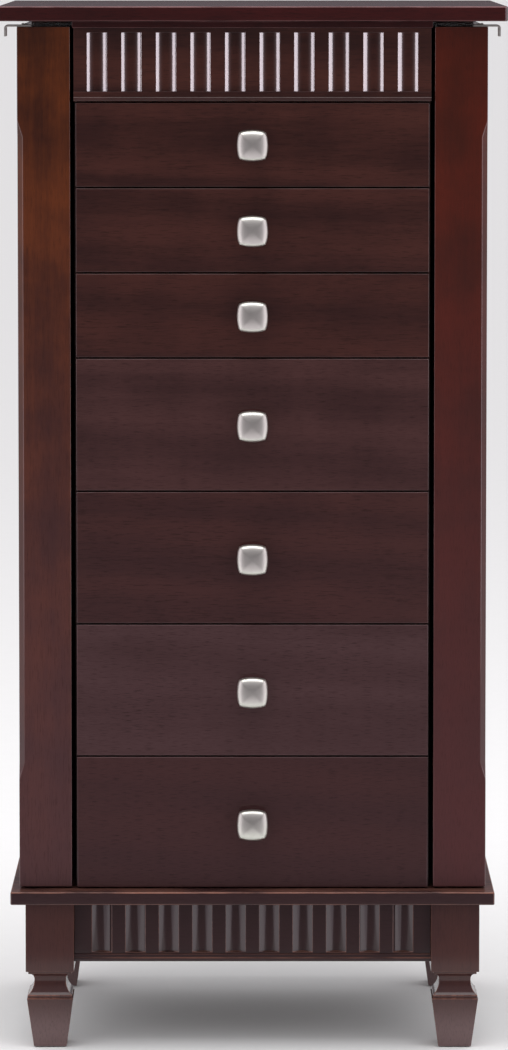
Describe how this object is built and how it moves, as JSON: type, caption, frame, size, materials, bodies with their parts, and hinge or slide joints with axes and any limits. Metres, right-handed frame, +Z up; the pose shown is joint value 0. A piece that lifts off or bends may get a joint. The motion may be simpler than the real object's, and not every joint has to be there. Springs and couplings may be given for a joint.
{
  "type": "jewellery chest with drawers",
  "caption": "Tall free-standing jewellery chest with a column of drawers, a lift-up mirrored lid over a lined tray, and side doors that swing out for necklaces.",
  "frame": {"origin": "on the floor, under the middle of the whole chest, knobs and hinge knuckles included", "axes": "+X to the chest's right as seen from the front, +Y to its back, +Z up"},
  "size_m": [0.49, 0.3553, 1.016],
  "materials": {
    "lid_wood": "dark cherry-brown stain under satin lacquer",
    "drawer_front_wood": "dark brown stained veneer with level grain, satin lacquer",
    "door_wood": "red-brown stain with upright grain, satin lacquer",
    "base_wood": "dark brown stain, satin lacquer",
    "carcase_wood": "dark brown stain, dull lacquer",
    "drawer_box_wood": "pale hardwood, clear sealed",
    "lining_velvet": "short black velvet",
    "pouch_fabric": "gathered black velvet",
    "satin_nickel": "satin nickel plate",
    "hinge_brass": "plated, lightly brushed",
    "mirror_glass": "silvered glass",
    "glide_plastic": "hard nylon"
  },
  "bodies": {
    "carcase": {"carcase_side_left": "carcase_wood", "carcase_side_right": "carcase_wood", "back_panel": "carcase_wood", "frieze_panel": "drawer_front_wood", "frieze_cap": "lid_wood", "frieze_bead": "drawer_front_wood", "tray_floor": "lining_velvet", "tray_dividers": "lining_velvet", "ring_rolls": "lining_velvet", "drawer_runners": "drawer_box_wood", "lid_hinge_fixed": "hinge_brass", "door_hinge_fixed": "hinge_brass", "plinth": "base_wood", "leg_front_left": "base_wood", "leg_front_right": "base_wood", "leg_rear_left": "base_wood", "leg_rear_right": "base_wood", "leg_glides": "glide_plastic", "apron_front": "base_wood", "apron_bead": "base_wood", "apron_sides": "base_wood", "apron_rear": "base_wood"},
    "lid": {"lid": "lid_wood", "mirror_frame": "lid_wood", "mirror": "mirror_glass", "lid_hinge_moving": "hinge_brass"},
    "door_left": {"door_left_frame": "door_wood", "door_left_panel": "door_wood", "door_left_pull": "satin_nickel", "door_left_hooks": "satin_nickel", "door_left_pouch": "pouch_fabric", "door_left_hinge": "hinge_brass"},
    "door_right": {"door_right_frame": "door_wood", "door_right_panel": "door_wood", "door_right_pull": "satin_nickel", "door_right_hooks": "satin_nickel", "door_right_pouch": "pouch_fabric", "door_right_hinge": "hinge_brass"},
    "drawer_1": {"drawer_1_front": "drawer_front_wood", "drawer_1_box": "drawer_box_wood", "drawer_1_knob": "satin_nickel"},
    "drawer_2": {"drawer_2_front": "drawer_front_wood", "drawer_2_box": "drawer_box_wood", "drawer_2_knob": "satin_nickel"},
    "drawer_3": {"drawer_3_front": "drawer_front_wood", "drawer_3_box": "drawer_box_wood", "drawer_3_knob": "satin_nickel"},
    "drawer_4": {"drawer_4_front": "drawer_front_wood", "drawer_4_box": "drawer_box_wood", "drawer_4_knob": "satin_nickel"},
    "drawer_5": {"drawer_5_front": "drawer_front_wood", "drawer_5_box": "drawer_box_wood", "drawer_5_knob": "satin_nickel"},
    "drawer_6": {"drawer_6_front": "drawer_front_wood", "drawer_6_box": "drawer_box_wood", "drawer_6_knob": "satin_nickel"},
    "drawer_7": {"drawer_7_front": "drawer_front_wood", "drawer_7_box": "drawer_box_wood", "drawer_7_knob": "satin_nickel"}
  },
  "joints": [
    {"name": "lid_hinge", "type": "hinge", "parent": "carcase", "child": "lid", "pos_m": [0, 0.17465, 1.00155], "axis": [-1, 0, 0], "range_deg": [0, 100]},
    {"name": "door_left_hinge", "type": "hinge", "parent": "carcase", "child": "door_left", "pos_m": [-0.23005, 0.15885, 0.57778], "axis": [0, 0, -1], "range_deg": [0, 105]},
    {"name": "door_right_hinge", "type": "hinge", "parent": "carcase", "child": "door_right", "pos_m": [0.23005, 0.15885, 0.57778], "axis": [0, 0, 1], "range_deg": [0, 105]},
    {"name": "drawer_1_slide", "type": "slide", "parent": "carcase", "child": "drawer_1", "axis": [0, -1, 0], "range_m": [0, 0.22]},
    {"name": "drawer_2_slide", "type": "slide", "parent": "carcase", "child": "drawer_2", "axis": [0, -1, 0], "range_m": [0, 0.22]},
    {"name": "drawer_3_slide", "type": "slide", "parent": "carcase", "child": "drawer_3", "axis": [0, -1, 0], "range_m": [0, 0.22]},
    {"name": "drawer_4_slide", "type": "slide", "parent": "carcase", "child": "drawer_4", "axis": [0, -1, 0], "range_m": [0, 0.22]},
    {"name": "drawer_5_slide", "type": "slide", "parent": "carcase", "child": "drawer_5", "axis": [0, -1, 0], "range_m": [0, 0.22]},
    {"name": "drawer_6_slide", "type": "slide", "parent": "carcase", "child": "drawer_6", "axis": [0, -1, 0], "range_m": [0, 0.22]},
    {"name": "drawer_7_slide", "type": "slide", "parent": "carcase", "child": "drawer_7", "axis": [0, -1, 0], "range_m": [0, 0.22]}
  ]
}
